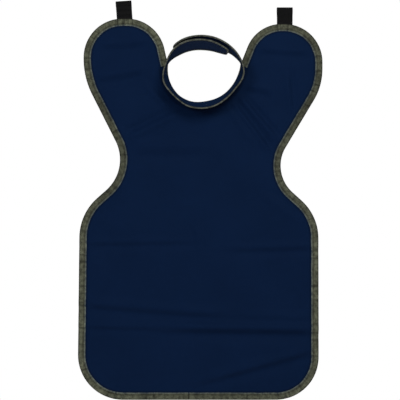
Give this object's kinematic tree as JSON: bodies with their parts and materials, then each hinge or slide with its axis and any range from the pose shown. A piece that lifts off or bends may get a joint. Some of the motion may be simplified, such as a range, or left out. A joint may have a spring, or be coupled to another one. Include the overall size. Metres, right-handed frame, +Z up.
{
  "type": "dental lead apron",
  "caption": "Bound radiation-protection apron with a standing thyroid collar, overlapping back closure and webbing hanger loops.",
  "frame": {"origin": "on the line through the two hanger loop eyes, at the panel's centreline and mid thickness", "axes": "+X across the apron to the viewer's right, -Y out of the front face, +Z up as it hangs"},
  "size_m": [0.5988, 0.0644, 0.9786],
  "materials": {
    "navy_cover": "coated woven nylon, satin",
    "navy_backing": "coated woven nylon, matt side",
    "protective_sheet": "smooth filled vinyl sheet",
    "edge_tape": "ribbed woven tape",
    "black_webbing": "plain woven webbing, matt",
    "fastener_pile": "soft loop pile",
    "fastener_hook": "stiff moulded hooks"
  },
  "bodies": {
    "torso": {"chest_front_cover": "navy_cover", "chest_core": "protective_sheet", "chest_back_cover": "navy_backing", "chest_binding_left": "edge_tape", "chest_binding_right": "edge_tape", "collar_front_binding": "edge_tape", "neckline_facing": "edge_tape", "collar_front_lining": "navy_backing", "collar_front_cover": "navy_cover", "collar_front_core": "protective_sheet"},
    "lap": {"lap_front_cover": "navy_cover", "lap_core": "protective_sheet", "lap_back_cover": "navy_backing", "lap_binding_left": "edge_tape", "lap_binding_right": "edge_tape"},
    "knee": {"knee_front_cover": "navy_cover", "knee_core": "protective_sheet", "knee_back_cover": "navy_backing", "knee_binding": "edge_tape"},
    "wing_left": {"wing_left_front_cover": "navy_cover", "wing_left_core": "protective_sheet", "wing_left_back_cover": "navy_backing", "wing_left_binding": "edge_tape", "left_loop_tail": "black_webbing"},
    "wing_right": {"wing_right_front_cover": "navy_cover", "wing_right_core": "protective_sheet", "wing_right_back_cover": "navy_backing", "wing_right_binding": "edge_tape", "right_loop_tail": "black_webbing"},
    "left_loop": {"left_loop": "black_webbing"},
    "right_loop": {"right_loop": "black_webbing"},
    "inner_arm": {"inner_arm_lining": "navy_backing", "inner_arm_core": "protective_sheet", "inner_arm_cover": "navy_cover", "inner_arm_binding": "edge_tape", "pile_tape": "fastener_pile"},
    "outer_arm": {"outer_arm_lining": "navy_backing", "outer_arm_core": "protective_sheet", "outer_arm_cover": "navy_cover", "outer_arm_binding": "edge_tape", "outer_arm_foot_binding": "edge_tape"},
    "closure_tab": {"closure_tab_lining": "navy_backing", "closure_tab_core": "protective_sheet", "closure_tab_cover": "navy_cover", "closure_tab_binding": "edge_tape", "hook_tape": "fastener_hook"}
  },
  "joints": [
    {"name": "shoulder_fold_left", "type": "hinge", "parent": "torso", "child": "wing_left", "pos_m": [-0.185, 0.0023, -0.14], "axis": [-1, 0, 0], "range_deg": [0, 110]},
    {"name": "shoulder_fold_right", "type": "hinge", "parent": "torso", "child": "wing_right", "pos_m": [0.2, 0.0023, -0.14], "axis": [-1, 0, 0], "range_deg": [0, 110]},
    {"name": "lap_fold", "type": "hinge", "parent": "torso", "child": "lap", "pos_m": [0, -0.0023, -0.576], "axis": [-1, 0, 0], "range_deg": [0, 90]},
    {"name": "knee_fold", "type": "hinge", "parent": "lap", "child": "knee", "pos_m": [0, 0.0023, -0.768], "axis": [1, 0, 0], "range_deg": [0, 90]},
    {"name": "outer_arm_swing", "type": "hinge", "parent": "torso", "child": "outer_arm", "pos_m": [0.1048, -0.028, -0.14], "axis": [0, 1, 0], "range_deg": [0, 70]},
    {"name": "inner_arm_swing", "type": "hinge", "parent": "torso", "child": "inner_arm", "pos_m": [-0.088, -0.028, -0.14], "axis": [0, 1, 0], "range_deg": [-21, 0]},
    {"name": "closure_peel", "type": "hinge", "parent": "outer_arm", "child": "closure_tab", "pos_m": [-0.024, -0.0014, -0.0937], "axis": [0, 0.9358, -0.3525], "range_deg": [0, 60]},
    {"name": "left_loop_swing", "type": "hinge", "parent": "wing_left", "child": "left_loop", "pos_m": [-0.1847, 0, -0.02308], "axis": [0.9976, 0, 0.0698], "range_deg": [-60, 60], "stiffness_Nm_per_rad": 0.02},
    {"name": "right_loop_swing", "type": "hinge", "parent": "wing_right", "child": "right_loop", "pos_m": [0.2075, 0, -0.0374], "axis": [1, 0, 0], "range_deg": [-60, 60], "stiffness_Nm_per_rad": 0.02}
  ],
  "couplings": [
    {"joint": "inner_arm_swing", "follows": "outer_arm_swing", "ratio": -0.3}
  ]
}
